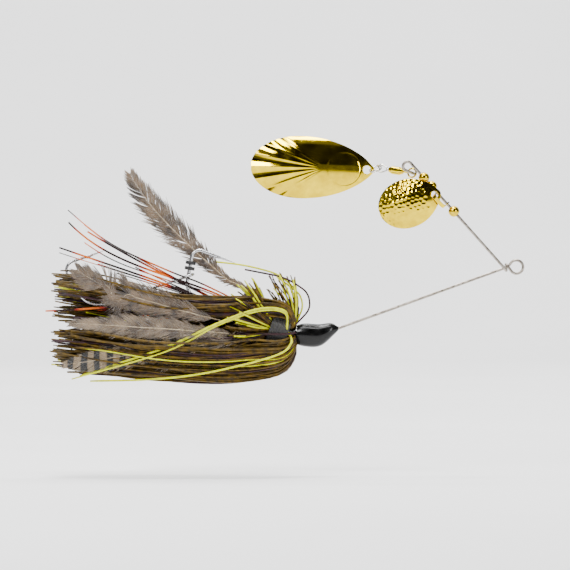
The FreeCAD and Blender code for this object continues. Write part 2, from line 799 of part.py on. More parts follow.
def feather_large():
    spine = [tail_spot(43.0, 8.2), tail_spot(58.0, 12.0), tail_spot(76.0, 17.5), tail_spot(102.5, 30.5)]
    return feather((0.4, 1.6), spine, 12.6, 1.65)


def feather_middle():
    spine = [tail_spot(34.0, 1.2), tail_spot(55.0, 3.2), tail_spot(80.0, 5.0), tail_spot(106.0, 6.4)]
    return feather((-1.7, -1.3), spine, 8.6, -3.0)


def feather_barred():
    spine = [tail_spot(42.0, -3.0), tail_spot(62.0, -5.0), tail_spot(85.0, -8.2), tail_spot(108.0, -12.2)]
    return feather((-1.9, 0.0), spine, 9.6, 0.0)


def feather_fluff():
    spine = [tail_spot(32.0, -1.6), tail_spot(44.0, -3.4), tail_spot(58.0, -4.2), tail_spot(72.0, -4.0)]
    return feather((-1.4, 1.4), spine, 12.0, 2.3)


def flash(up, y, spots):
    """A strip of foil from the back of the collar to its own ragged tip."""
    root = quill_root(up, y)
    spine = [Vector(root.x, 0, root.z)] + [tail_spot(back, rise) for back, rise in spots]
    return leaf(spine, FLASH_WIDTH, FLASH_THICK, y, STRIP_PROFILE)


# ---------------------------------------------------------------- every node
def nodes():
    found = {
        "wire_form": wire_form(),
        "head": head(),
        "main_hook": main_hook(),
        "thread_wrap": thread_wrap(),
        "keeper_lower": keeper(0),
        "keeper_upper": keeper(1),
        "stop_bead": stop_bead(),
        "bead_upper": bead(BEAD_1_AT),
        "bead_lower": bead(BEAD_1_AT + BEAD_D + BEAD_SPACE),
        "clevis": clevis(),
        "small_blade": small_blade(),
        "swivel_front_eye": swivel_front_eye(),
        "swivel_barrel": swivel_barrel(),
        "swivel_rear_eye": swivel_rear_eye(),
        "split_ring": split_ring(),
        "big_blade": big_blade(),
        "stinger_hook": stinger_hook(),
    }
    for i in range(LOCK_COUNT):
        found["skirt_lock_%02d" % (i + 1)] = skirt_lock(i)
    found["strand_dark"] = loose_strand(18, 1.0, [(6.5, 7, -2.6), (5.5, 14, -3.4), (-4, 20.5, -3.4), (-22, 24, -3.4)])
    found["strand_yellow"] = loose_strand(0, 1.0, [(3.2, 7.5, 0), (2.0, 13, 0), (-4.0, 17.5, 0), (-8.5, 21, 0)])
    found["strand_top"] = loose_strand(-18, 1.0, [(1.5, 14, 2.4), (-7, 22, 2.4), (-22, 26, 2.4), (-36, 27.5, 5.6)])
    found["feather_upright"] = feather_upright()
    found["feather_large"] = feather_large()
    found["feather_middle"] = feather_middle()
    found["feather_barred"] = feather_barred()
    found["feather_fluff"] = feather_fluff()
    found["flash_01"] = flash(1.5, -1.75, [(50, 22), (64, 26), (92, 40), (106, 50)])
    found["flash_02"] = flash(0.5, -1.75, [(50, 18), (74, 26.5), (95, 34.5), (110, 39)])
    found["flash_03"] = flash(-0.55, -1.75, [(45, 12.5), (70, 14), (92, 13), (116, 11.5)])
    found["flash_04"] = flash(0.3, 2.5, [(48, 19), (66, 28), (84, 38), (98, 46)])
    found["flash_05"] = flash(-0.9, 2.5, [(46, 11), (66, 10), (90, 7), (110, 2.5)])
    return found


def main():
    os.makedirs("parts", exist_ok=True)
    for name, shape in nodes().items():
        shape.exportStep("parts/%s.step" % name)
        print(name, "solids", len(shape.Solids), "volume %.2f" % shape.Volume, "valid", shape.isValid())


main()
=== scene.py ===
# %% [markdown]
# # Dressing a spinnerbait
#
# A spinnerbait is a piece of spring wire bent into an open V. A line goes to the eye at the point of the
# V. One arm ends in a lead head moulded round a hook; the other carries blades that turn and flash. A
# skirt of silicone strands hides the hook. The CAD part already gives every hard piece its place, and a
# joint if it moves, so this script adds what CAD leaves out: hundreds of strands, feather barbs, hammered
# and fluted metal, and light to see them by.
#
# The first step loads the imported part. Places below are measured from it, and so are the sizes of
# whatever has to fit the CAD. Fine sizes that the CAD doesn't hold, such as a strand's width or a
# dimple's depth, are chosen.

# %% Load the part
import bpy
import json
import math
import random
import numpy as np
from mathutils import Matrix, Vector
from mathutils.bvhtree import BVHTree


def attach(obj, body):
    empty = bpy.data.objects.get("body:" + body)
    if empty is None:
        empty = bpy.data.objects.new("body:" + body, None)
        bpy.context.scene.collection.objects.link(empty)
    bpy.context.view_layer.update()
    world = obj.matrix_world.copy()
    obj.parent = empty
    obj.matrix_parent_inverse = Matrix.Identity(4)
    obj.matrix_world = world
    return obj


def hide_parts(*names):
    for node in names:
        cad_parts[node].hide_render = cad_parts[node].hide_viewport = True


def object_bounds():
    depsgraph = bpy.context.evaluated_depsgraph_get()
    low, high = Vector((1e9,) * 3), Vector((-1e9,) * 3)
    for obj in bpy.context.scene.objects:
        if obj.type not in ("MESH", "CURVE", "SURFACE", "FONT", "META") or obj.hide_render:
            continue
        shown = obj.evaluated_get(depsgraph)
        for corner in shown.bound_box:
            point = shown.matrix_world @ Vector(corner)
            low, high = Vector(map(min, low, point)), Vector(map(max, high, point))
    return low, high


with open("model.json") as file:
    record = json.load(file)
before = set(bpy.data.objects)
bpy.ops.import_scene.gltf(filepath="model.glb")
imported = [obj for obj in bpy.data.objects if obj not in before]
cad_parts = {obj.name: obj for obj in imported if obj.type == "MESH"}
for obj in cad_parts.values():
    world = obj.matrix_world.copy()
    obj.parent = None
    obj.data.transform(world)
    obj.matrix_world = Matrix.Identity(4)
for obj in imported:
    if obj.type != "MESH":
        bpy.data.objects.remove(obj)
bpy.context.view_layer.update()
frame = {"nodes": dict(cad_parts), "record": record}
nodes = frame["nodes"]
rng = random.Random(7)

# %% [markdown]
# ## Materials
#
# Nothing on a lure is one flat colour. Plated brass has finger smudges that change its gloss; strands are
# moulded in tinted silicone that varies along each one; paint on a lead head pools and shines. Every
# plain material is a Principled shader whose colour runs between two tones on a noise, and the same noise
# moves the roughness and a slight bump. Image textures would tie the look to one unwrapping. Noise in
# object space needs none.

# %% A material with two tones, wear and grain
def material(name, dark, light, rough, metal=0.0, scale=900.0, bump=0.1, coat=0.0, sheen=0.0,
             spread=0.1, shine=0.5):
    """scale and bump set the noise; spread is how far the roughness strays either way from rough."""
    mat = bpy.data.materials.new(name.replace(" ", "_"))
    mat.use_nodes = True
    tree = mat.node_tree
    shader = tree.nodes["Principled BSDF"]
    place = tree.nodes.new("ShaderNodeTexCoord")
    place.name = "place"
    noise = tree.nodes.new("ShaderNodeTexNoise")
    noise.inputs["Scale"].default_value = scale
    noise.inputs["Detail"].default_value = 5.0
    tone = tree.nodes.new("ShaderNodeValToRGB")
    tone.name = "tone"
    tone.color_ramp.elements[0].position = 0.35
    tone.color_ramp.elements[0].color = (*dark, 1)
    tone.color_ramp.elements[1].position = 0.65
    tone.color_ramp.elements[1].color = (*light, 1)
    wear = tree.nodes.new("ShaderNodeMapRange")
    wear.inputs["From Min"].default_value = 0.3
    wear.inputs["From Max"].default_value = 0.7
    wear.inputs["To Min"].default_value = max(0.02, rough - spread)
    wear.inputs["To Max"].default_value = rough + spread
    relief = tree.nodes.new("ShaderNodeBump")
    relief.inputs["Strength"].default_value = bump
    relief.inputs["Distance"].default_value = 0.0002
    tree.links.new(place.outputs["Object"], noise.inputs["Vector"])
    tree.links.new(noise.outputs["Fac"], tone.inputs["Fac"])
    tree.links.new(noise.outputs["Fac"], wear.inputs["Value"])
    tree.links.new(noise.outputs["Fac"], relief.inputs["Height"])
    tree.links.new(tone.outputs["Color"], shader.inputs["Base Color"])
    tree.links.new(wear.outputs["Result"], shader.inputs["Roughness"])
    tree.links.new(relief.outputs["Normal"], shader.inputs["Normal"])
    shader.inputs["Metallic"].default_value = metal
    shader.inputs["Specular IOR Level"].default_value = shine
    shader.inputs["Coat Weight"].default_value = coat
    shader.inputs["Coat Roughness"].default_value = 0.06
    shader.inputs["Sheen Weight"].default_value = sheen
    return mat


def strand_finish(name, dark, light, rough=0.5, bump=0.25, shine=0.3):
    return material(name, dark, light, rough, 0.0, 420, bump, shine=shine)


looks = {
    "spring_wire": material("wire", (0.20, 0.17, 0.14), (0.42, 0.38, 0.33), 0.32, 1.0, 700, 0.15),
    "head_paint": material(
        "black paint", (0.002, 0.002, 0.002), (0.006, 0.006, 0.006), 0.2, 0.0, 300, 0.05, 0.04, shine=0.22
    ),
    "hook_steel": material("hook steel", (0.38, 0.38, 0.39), (0.62, 0.62, 0.63), 0.26, 1.0, 1200, 0.12),
    "tying_thread": material(
        "thread", (0.004, 0.004, 0.005), (0.03, 0.028, 0.027), 0.45, 0.0, 2500, 0.6, sheen=0.3
    ),
    "keeper_rubber": material("rubber", (0.006, 0.006, 0.006), (0.02, 0.02, 0.02), 0.6, 0.0, 1500, 0.3),
    "bead_brass": material("brass", (0.52, 0.34, 0.002), (0.74, 0.52, 0.008), 0.14, 1.0, 500, 0.1),
    "gold_plate": material(
        "gold plate", (0.62, 0.43, 0.001), (0.80, 0.58, 0.004), 0.09, 1.0, 260, 0.03, spread=0.05
    ),
    "swivel_steel": material("nickel", (0.55, 0.53, 0.48), (0.85, 0.83, 0.78), 0.2, 1.0, 900, 0.1),
    "skirt_olive": strand_finish("olive strand", (0.024, 0.0125, 0.0), (0.118, 0.066, 0.0)),
    "skirt_dark": strand_finish("dark strand", (0.012, 0.004, 0.005), (0.038, 0.011, 0.016)),
    "skirt_yellow": strand_finish("yellow strand", (0.46, 0.47, 0.0), (0.70, 0.74, 0.0), 0.6, 0.2, 0.2),
}
print(len(looks), "plain materials")

# %% [markdown]
# Foil flash is printed in bands, so its three tones come from a wave along the lure instead of a noise.
# The same shader serves every strip.

# %% Banded foil
BAND_PITCH = 0.024  # metres from one band of foil to the next
WAVE_PER_METRE = math.pi / 10  # a wave texture's scale, times metres, for one full wave


def foil(name, colours, period):
    mat = material(name, colours[0], colours[1], 0.22, 0.35, 1500, 0.3, 0.5)
    tree = mat.node_tree
    wave = tree.nodes.new("ShaderNodeTexWave")
    wave.inputs["Scale"].default_value = WAVE_PER_METRE / period
    wave.inputs["Distortion"].default_value = 5.0
    wave.inputs["Detail"].default_value = 3.0
    bands = tree.nodes.new("ShaderNodeValToRGB")
    ramp = bands.color_ramp
    ramp.elements[0].color = (*colours[0], 1)
    ramp.elements[0].position = 0.28
    ramp.elements[1].color = (*colours[2], 1)
    ramp.elements[1].position = 0.86
    ramp.elements.new(0.52).color = (*colours[1], 1)
    place = tree.nodes["place"]
    tree.links.new(place.outputs["Object"], wave.inputs["Vector"])
    tree.links.new(wave.outputs["Fac"], bands.inputs["Fac"])
    tree.links.new(bands.outputs["Color"], tree.nodes["Principled BSDF"].inputs["Base Color"])
    return mat


foil_tones = [(0.02, 0.004, 0.004), (0.40, 0.022, 0.004), (0.85, 0.17, 0.006)]
looks["flash_foil"] = foil("foil", foil_tones, BAND_PITCH)
print("foil bands every %.0f mm" % (BAND_PITCH * 1000))

# %% [markdown]
# ## Carried pieces
#
# Wire, hooks, head, beads, clevis and swivel are already true to shape in the CAD. They keep their meshes
# and only take a finish. The record names a finish for each node, and the loop below looks it up. Skirt,
# blades and feathers are dressed further down, with meshes of their own.

# %% Finish the CAD pieces
slot_of = {s["node"]: s["material_slot"] for s in frame["record"]["subparts"]}
for name, obj in nodes.items():
    if slot_of[name] in looks:
        obj.data.materials.clear()
        obj.data.materials.append(looks[slot_of[name]])
print("finished", len(nodes), "CAD nodes")

# %% [markdown]
# ## Ribbons and tubes
#
# Strands, quills and barbs are all the same thing to a modeller: a small section carried along a line.
# One helper builds many of them into a single mesh, because a thousand separate objects would be slow to
# load and dull to edit. Each section is an ellipse, so that the same code gives a round thread or a flat
# ribbon.

# %% Many tubes in one mesh
def smooth_line(points, count):
    """A Catmull-Rom line through the points, sampled evenly by index."""
    p = np.array([list(q) for q in points], dtype=float)
    p = np.vstack([2 * p[0] - p[1], p, 2 * p[-1] - p[-2]])
    out = []
    spans = len(p) - 3
    for k in range(count):
        u = k / (count - 1) * spans
        i = min(int(u), spans - 1)
        t = u - i
        a, b, c, d = p[i:i + 4]
        square = (2 * a - 5 * b + 4 * c - d) * t * t
        cube = (3 * b - a - 3 * c + d) * t ** 3
        out.append(0.5 * (2 * b + (c - a) * t + square + cube))
    return np.array(out)


def place_object(name, data, mat=None):
    """Put a mesh, a light or a camera in the scene, with a material if it takes one."""
    obj = bpy.data.objects.new(name, data)
    bpy.context.scene.collection.objects.link(obj)
    if mat is not None:
        data.materials.append(mat)
    return obj


def tube_mesh(name, runs, mat, body, sides=5):
    """runs is a list of (line, half width at each point, flatness). All of them go into one object."""
    verts, faces = [], []
    for line, half, flat in runs:
        base = len(verts)
        n = len(line)
        way = np.gradient(line, axis=0)
        way /= np.linalg.norm(way, axis=1)[:, None] + 1e-12
        side = np.cross(way[0], (0.3, 1.0, 0.2))
        side /= np.linalg.norm(side)
        for i in range(n):
            side = side - way[i] * side.dot(way[i])
            side /= np.linalg.norm(side)
            up = np.cross(way[i], side)
            for k in range(sides):
                a = 2 * math.pi * k / sides
                verts.append(line[i] + half[i] * (side * math.cos(a) + up * math.sin(a) * flat))
        for i in range(n - 1):
            for k in range(sides):
                a = base + i * sides + k
                b = base + i * sides + (k + 1) % sides
                faces.append((a, b, b + sides, a + sides))
        faces.append(tuple(base + k for k in reversed(range(sides))))
        faces.append(tuple(base + (n - 1) * sides + k for k in range(sides)))
    mesh = bpy.data.meshes.new(name)
    mesh.from_pydata([tuple(v) for v in verts], [], faces)
    mesh.polygons.foreach_set("use_smooth", [True] * len(mesh.polygons))
    obj = place_object(name, mesh, mat)
    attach(obj, body)
    return obj


def points_of(name):
    """A node's vertices, one row each."""
    mesh = nodes[name].data
    numbers = np.empty(len(mesh.vertices) * 3)
    mesh.vertices.foreach_get("co", numbers)
    return numbers.reshape(-1, 3)


# %% [markdown]
# ## Where the skirt is tied
#
# The skirt hangs from the thread, so the thread's own mesh says where: its middle, the axis of its tube
# and its radius. The axis is the direction in which the vertices spread unlike the other two.

# %% Measure the thread
band = points_of("thread_wrap")
tie = (band.max(axis=0) + band.min(axis=0)) / 2
values, vectors = np.linalg.eigh(np.cov((band - tie).T))
odd = int(np.argmax(np.abs(values - np.median(values))))
axis = vectors[:, odd] * (-1 if vectors[0, odd] > 0 else 1)
up = np.cross(axis, (0.0, 1.0, 0.0))
up *= 1 if up[2] > 0 else -1
far = np.array((0.0, 1.0, 0.0))
along = (band - tie) @ axis
half_tie = (along.max() - along.min()) / 2
tie_r = np.linalg.norm((band - tie) - np.outer(along, axis), axis=1).max()
root_r = tie_r * 0.67  # strands leave from under the outer turns of thread
print("tie radius %.2f mm, length %.2f mm" % (tie_r * 1000, half_tie * 2000))


def on_tie(back, radius, angle):
    """A point by the tie: back from its middle, out from its axis, turned from the top to the near side."""
    return tie + axis * back + radius * (up * math.cos(angle) - far * math.sin(angle))


# %% [markdown]
# ## The skirt
#
# Silicone strands are laid forwards along the collar, bound with thread, then folded back over it. The
# fold makes the skirt flare, and it is easy to see at the front of the lure. The CAD stands ten rigid
# locks in for them. Each lock's mesh gives a centre line; a real strand takes a place between two
# neighbouring lines, wanders a little, and stops at a length of its own so that the ends come out ragged.

# %% Lines down the middle of the locks
CLEAR_OF_FOLD = 0.0075  # a lock's line starts this far behind the thread
REACH_BACK = 0.004  # points this far before the start still count
WINDOW = 0.006  # half the stretch that one point of the line is measured over
FEWEST = 6
NEAREST = 24
OUTER = 0.6  # points nearer the middle than this share are left out, as a lock's short end lies there


def lock_line(name, count=9):
    """Points down the middle of a lock, from just behind the fold to its tip."""
    points = points_of(name)
    start = tie[0] - half_tie - CLEAR_OF_FOLD
    tips = points[:, 0].min()
    points = points[points[:, 0] < start + REACH_BACK]
    line = []
    for i in range(count):
        x = start + (tips - start) * i / (count - 1)
        near = points[np.abs(points[:, 0] - x) < WINDOW]
        if len(near) < FEWEST:
            near = points[np.argsort(np.abs(points[:, 0] - x))[:NEAREST]]
        off = np.linalg.norm((near - tie)[:, 1:], axis=1)
        near = near[off > OUTER * off.max()]
        y, z = (near[:, 1:].min(axis=0) + near[:, 1:].max(axis=0)) / 2
        line.append((x, y, z))
    return np.array(line)


lock_names = sorted(n for n in nodes if n.startswith("skirt_lock"))
lines = [lock_line(n) for n in lock_names]


def lock_turn(line):
    """The angle at which a lock leaves the tie, from the top towards the near side."""
    first = line[1] - tie
    return math.atan2(-first @ far, first @ up)


turns = [lock_turn(line) for line in lines]
ring = sorted(range(len(lines)), key=lambda i: turns[i] % (2 * math.pi))
print("lock angles", [round(math.degrees(turns[i] % (2 * math.pi))) for i in ring])

# %% [markdown]
# A strand is a line through the root, the fold and the tail. The colours are mixed by hand on the real
# bait: mostly olive, some aubergine, and a few chartreuse strands for contrast.

# %% Grow the long strands
STRAND_POINTS = 34
FOLD = ((0.38, 0.0008), (0.74, -0.0010), (0.97, -0.0062))  # share of the way out, metres forwards
PUFF = 0.05  # how much the skirt swells just behind the fold
RIPPLE = 0.0006
middle_line = sum(lines) / len(lines)


def strand(spot, reach, wander, inner):
    """spot runs round the ring of locks; inner below 1 keeps the strand under the outside ones."""
    i = int(spot) % len(ring)
    f = spot - int(spot)
    a, b = ring[i], ring[(i + 1) % len(ring)]
    line = lines[a] * (1 - f) + lines[b] * f
    line = middle_line + (line - middle_line) * inner
    out = (line[0] - tie) * (0, 1, 1)
    turn = math.atan2(-out @ far, out @ up)
    front = tie + (half_tie + rng.uniform(0.0006, 0.0026)) * np.array((1.0, 0, 0))
    points = [on_tie(half_tie * 0.5, root_r * 0.8, turn), on_tie(-half_tie, root_r, turn)]
    points += [front + out * share + np.array((ahead, 0, 0)) for share, ahead in FOLD]
    drift = rng.uniform(0, 2 * math.pi)
    spin = rng.uniform(-1.2, 1.2)
    size = wander * math.sqrt(rng.random())
    last = len(line) - 1
    stop = reach * last
    for k in range(last + 1):
        at = min(k, stop)
        before = min(int(at), last - 1)
        place = line[before] * (1 - (at - before)) + line[before + 1] * (at - before)
        grow = min(1.0, 0.25 + k / 4)
        place = place + (line[0] - tie) * (0, 1, 1) * PUFF * max(0.0, 1 - k / 3)
        angle = drift + spin * k / last
        wave = RIPPLE * math.sin(k * 0.9 + drift * 3)
        stray = size * grow * np.array((0.0, math.cos(angle), math.sin(angle)))
        points.append(place + stray + wave * np.array((0, 0.6, 1)))
        if k >= stop:
            break
    return smooth_line(points, STRAND_POINTS)


PARTING = (-0.8, 1.5)  # rise over reach on the near side, between which the skirt is parted
STAY_OUT = 0.93  # chance that a strand in the parting is moved


def near_gap(spot):
    """The skirt parts on the near side. True for the few places round the ring that fall in the parting."""
    i, f = int(spot) % len(ring), spot - int(spot)
    line = lines[ring[i]] * (1 - f) + lines[ring[(i + 1) % len(ring)]] * f
    out = line[0] - tie
    return out[1] < 0 and PARTING[0] < out[2] / -out[1] < PARTING[1]


def any_spot():
    return rng.uniform(0.0, len(ring) - 0.001)


def strand_width(count, half):
    """The half width at each point: even, and a little narrower at the cut tip."""
    taper = np.ones(count) * half
    taper[-1] *= 0.75
    return taper


WANDER = 0.0030  # the farthest a strand strays from its line
mix = {"skirt_olive": 300, "skirt_dark": 60, "skirt_yellow": 20}
for look, count in mix.items():
    runs = []
    for _ in range(count):
        spot = any_spot()
        while near_gap(spot) and rng.random() < STAY_OUT:
            spot = any_spot()
        line = strand(spot, rng.uniform(0.82, 1.0), WANDER, 1.05 - 0.42 * rng.random() ** 2)
        half = rng.uniform(0.00042, 0.00056)
        runs.append((line, strand_width(len(line), half), rng.uniform(0.5, 0.85)))
    tube_mesh("long_" + look, runs, looks[look], "lure")
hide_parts(*lock_names)
print("long strands", sum(mix.values()))

# %% [markdown]
# A few chartreuse strands have slipped out of their bundle. They leave the front of the tie, arch over
# the near side and run down to the lowest tips. They are what the eye follows, so they are laid one by
# one.

# %% Strands across the near side
CROSSING_POINTS = 44
length = lines[0][0][0] - lines[0][-1][0]
crossings = (
    [(0.04, -0.05, 0.02), (0.03, -0.11, 0.10), (-0.10, -0.15, 0.11),
     (-0.30, -0.16, 0.04), (-0.56, -0.14, -0.08), (-0.98, -0.10, -0.22)],
    [(0.04, -0.05, 0.00), (0.03, -0.11, 0.09), (-0.10, -0.15, 0.10),
     (-0.30, -0.16, 0.03), (-0.56, -0.15, -0.10), (-1.02, -0.11, -0.235)],
    [(0.05, -0.05, -0.01), (0.06, -0.10, -0.06), (-0.02, -0.15, -0.12),
     (-0.34, -0.17, -0.20), (-0.62, -0.14, -0.235), (-0.93, -0.10, -0.245)],
)  # from the tie, in shares of the skirt's length
runs = []
for way in crossings:
    start = [on_tie(0.0, root_r, math.pi / 2), on_tie(-half_tie, root_r, math.pi / 2)]
    line = smooth_line(start + [tie + length * np.array(share) for share in way], CROSSING_POINTS)
    runs.append((line, strand_width(CROSSING_POINTS, 0.00054), 0.7))
tube_mesh("crossing_yellow", runs, looks["skirt_yellow"], "lure", 6)
print("crossing strands", len(runs), "over a skirt %.0f mm long" % (length * 1000))

# %% [markdown]
# Behind the thread the same strands stick out as short cut ends. They spray backwards and outwards like a
# brush, and a few at the top of its front edge stand almost straight up.

# %% Spray the short ends
def short_end(turn, lean, length):
    start = on_tie(half_tie * 0.7, rng.uniform(root_r * 0.55, root_r * 1.1), turn)
    out = up * math.cos(turn) - far * math.sin(turn)
    way = axis * math.cos(lean) + out * math.sin(lean)
    bow = out * rng.uniform(-0.0008, 0.0014)
    mouth = on_tie(half_tie * 1.05, root_r * 1.05, turn)
    return smooth_line([start, mouth, mouth + way * length * 0.5 + bow, mouth + way * length], 9)


SHORT_MIX = (("skirt_olive", 110, 0.020), ("skirt_dark", 50, 0.018), ("skirt_yellow", 44, 0.022))
SHORT_PER_SPIKE = 7
for look, count, longest in SHORT_MIX:
    runs = []
    for _ in range(count):
        turn = rng.uniform(0, 2 * math.pi)
        line = short_end(turn, math.radians(rng.uniform(10, 50)), rng.uniform(0.6, 1.0) * longest)
        runs.append((line, strand_width(len(line), rng.uniform(0.00036, 0.0005)), 0.6))
    for _ in range(count // SHORT_PER_SPIKE):
        foot = on_tie(-half_tie - 0.001, root_r + 0.001, rng.uniform(-0.5, 0.5))
        rise = (rng.uniform(-0.012, 0.001), rng.uniform(-0.003, 0.003), rng.uniform(0.014, 0.023))
        tip = foot + np.array(rise)
        mid = (foot + tip) / 2 + np.array((rng.uniform(-0.001, 0.003), 0, 0))
        runs.append((smooth_line([on_tie(0, root_r, 0), foot, mid, tip], 10), strand_width(10, 0.00042), 0.6))
    tube_mesh("short_" + look, runs, looks[look], "lure")
    print("short ends and spikes in", look, len(runs))

# %% [markdown]
# ## Feathers
#
# A feather is a quill with a vane on each side, and each vane is a row of barbs that split apart where
# they like. The CAD gives each one as a thin plate, so its outline is measured in slices across its
# length. Barbs leave the quill at about thirty degrees and curve towards the tip. They tangle more near
# the base, where they turn to down.

# %% Measure a plate in slices
SLICES = 22
HALF_SLICE = 0.003
FEWEST_IN_SLICE = 14


def slices(name, count):
    """A plate's middle line and its half width, measured in slices across its long way."""
    points = points_of(name)
    flat = points[:, [0, 2]]
    middle = flat.mean(axis=0)
    _, vec = np.linalg.eigh(np.cov((flat - middle).T))
    run = vec[:, 1] * (-1 if vec[0, 1] > 0 else 1)
    across = np.array((-run[1], run[0]))
    s = (flat - middle) @ run
    w = (flat - middle) @ across
    edges = np.linspace(s.min(), s.max(), count)
    spine, halves = [], []
    for e in edges:
        order = np.argsort(np.abs(s - e))
        near = order[: max(FEWEST_IN_SLICE, int((np.abs(s - e) < HALF_SLICE).sum()))]
        top, low = w[near].max(), w[near].min()
        spine.append(middle + run * e + across * (top + low) / 2)
        halves.append((top - low) / 2)
    y = points[:, 1].mean()
    return np.array([(q[0], y, q[1]) for q in spine]), np.array(halves)


print("large feather, widest half %.1f mm" % (slices("feather_large", SLICES)[1].max() * 1000))

# %% [markdown]
# The barbs are grown along the quill on both sides. Neighbours cling together in small groups, so every
# eleventh barb picks a new lean for its group. A feather that lies over the skirt is brought nearer along
# its length, while its root stays where the CAD ties it.

# %% Grow the barbs of one feather
QUILL_POINTS = 120
BARB_LEAN = 32  # degrees off the quill
BARB_HALF = 0.00021
LONGEST_BARB = 0.013
GROUP = 11
quill_look = material("quill", (0.30, 0.22, 0.13), (0.62, 0.50, 0.34), 0.4, 0.0, 900, 0.2)
barb_taper = np.array([1.0, 1.0, 0.95, 0.8, 0.55, 0.15]) * BARB_HALF


def barb_mesh(name, node, look, per_side, down, seed, near=0.0):
    """down is how fluffy the base is; near is how far the vane comes towards the viewer."""
    local = random.Random(seed)
    spine, halves = slices(node, SLICES)
    line = smooth_line(spine, QUILL_POINTS)
    line[:, 1] -= near * np.clip(np.linspace(0, 3, QUILL_POINTS), 0, 1) ** 2
    half = np.interp(np.linspace(0, 1, QUILL_POINTS), np.linspace(0, 1, SLICES), halves)
    start = int(np.argmax(half > 0.25 * half.max()))
    runs, group_lean = [], 0.0
    for side in (-1, 1):
        for k in range(per_side):
            u = start + (QUILL_POINTS - 2 - start) * (k + local.random()) / per_side
            i = int(u)
            root = line[i]
            way = line[min(i + 1, QUILL_POINTS - 1)] - line[max(i - 1, 0)]
            way /= np.linalg.norm(way)
            out = np.array((-way[2], 0.0, way[0])) * side
            fluffy = down * (1 - (i - start) / (QUILL_POINTS - start))
            if k % GROUP == 0:
                group_lean = local.gauss(0, 3.5)
            lean = math.radians(BARB_LEAN + group_lean + local.gauss(0, 2 + 12 * fluffy))
            reach = min(LONGEST_BARB, 1.25 * half[i] / math.sin(math.radians(BARB_LEAN)))
            reach *= local.uniform(0.8, 1.06)
            depth = np.array((0.0, local.gauss(0, 0.00035 + 0.0011 * fluffy), 0.0))
            mid = root + (way * math.cos(lean) + out * math.sin(lean)) * reach * 0.5 + depth * 0.4
            tip = mid + (way * math.cos(lean * 0.72) + out * math.sin(lean * 0.72)) * reach * 0.5 + depth
            runs.append((smooth_line([root, mid, tip], len(barb_taper)), barb_taper, 0.4))
    vane = tube_mesh(name, runs, look, "lure", 4)
    shaft = [(line, np.linspace(0.00034, 0.00007, QUILL_POINTS), 1.0)]
    tube_mesh(name + "_quill", shaft, quill_look, "lure", 8)
    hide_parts(node)
    print(name, len(runs), "barbs")


# %% [markdown]
# Hen feathers are mottled. The barbs take a patchy brown from a broad noise; the lowest feather is
# barred, so its noise is replaced by a wave across the lure.

# %% Feather colours
def barred(name, dark, light, period):
    mat = material(name, dark, light, 0.7, 0.0, 600, 0.1, sheen=0.4)
    tree = mat.node_tree
    wave = tree.nodes.new("ShaderNodeTexWave")
    wave.inputs["Scale"].default_value = WAVE_PER_METRE / period
    wave.inputs["Distortion"].default_value = 2.5
    tree.links.new(tree.nodes["place"].outputs["Object"], wave.inputs["Vector"])
    tree.links.new(wave.outputs["Fac"], tree.nodes["tone"].inputs["Fac"])
    return mat


def mottled(name, dark, light):
    return material(name, dark, light, 0.8, 0.0, 190, 0.1, sheen=0.5)


BAR_PITCH = 0.0055  # metres from one dark bar to the next
vane_brown = mottled("vane brown", (0.030, 0.017, 0.008), (0.20, 0.132, 0.075))
vane_pale = mottled("vane pale", (0.055, 0.034, 0.017), (0.25, 0.178, 0.108))
vane_barred = barred("vane barred", (0.003, 0.002, 0.0015), (0.25, 0.178, 0.10), BAR_PITCH)
barb_mesh("vane_upright", "feather_upright", vane_brown, 460, 0.5, 1)
barb_mesh("vane_large", "feather_large", vane_brown, 520, 0.4, 2, 0.011)
barb_mesh("vane_middle", "feather_middle", vane_pale, 440, 0.4, 3, 0.010)
barb_mesh("vane_barred", "feather_barred", vane_barred, 440, 0.3, 4, 0.010)
barb_mesh("vane_fluff", "feather_fluff", vane_pale, 420, 1.4, 5, 0.009)
print("5 feathers dressed")

# %% [markdown]
# ## Foil flash
#
# The CAD gives five foil strips. Real bunches hold more, so each gets three companions that start from
# the same place, spread a little and often stop shorter.

# %% Extra strips beside the CAD ones
COMPANIONS = 3
FOIL_SLICES = 12
runs = []
for name in sorted(n for n in nodes if n.startswith("flash")):
    spine, _ = slices(name, FOIL_SLICES)
    for _ in range(COMPANIONS):
        stop = rng.randint(8, FOIL_SLICES)
        offset = np.array((0.0, rng.uniform(-0.003, 0.003), rng.uniform(-0.006, 0.006)))
        grow = np.linspace(0, 1, stop)[:, None]
        line = smooth_line(spine[:stop] + offset * grow, 26)
        runs.append((line, np.ones(len(line)) * rng.uniform(0.0002, 0.00042), 0.25))
tube_mesh("flash_extra", runs, looks["flash_foil"], "lure", 4)
print("extra foil strips", len(runs))

# %% [markdown]
# ## Blades
#
# Both blades are stamped from sheet brass and plated. The small one is hammered: a ball peen leaves
# shallow round dimples. The big one is fluted, with ribs that fan out from just past a plain stamped
# disc. A bump in the material would break up the highlights, but the mesh and its rim would stay smooth.
# So each blade is rebuilt as a fine grid, and the relief is pressed into the grid itself. The clevis
# holds the small blade by a hole, and the split ring the big one, so the hole is measured first.

# %% A drilled hole, measured from its wall
FACING = -0.3  # a face whose normal has a smaller y than this is on the blade's front


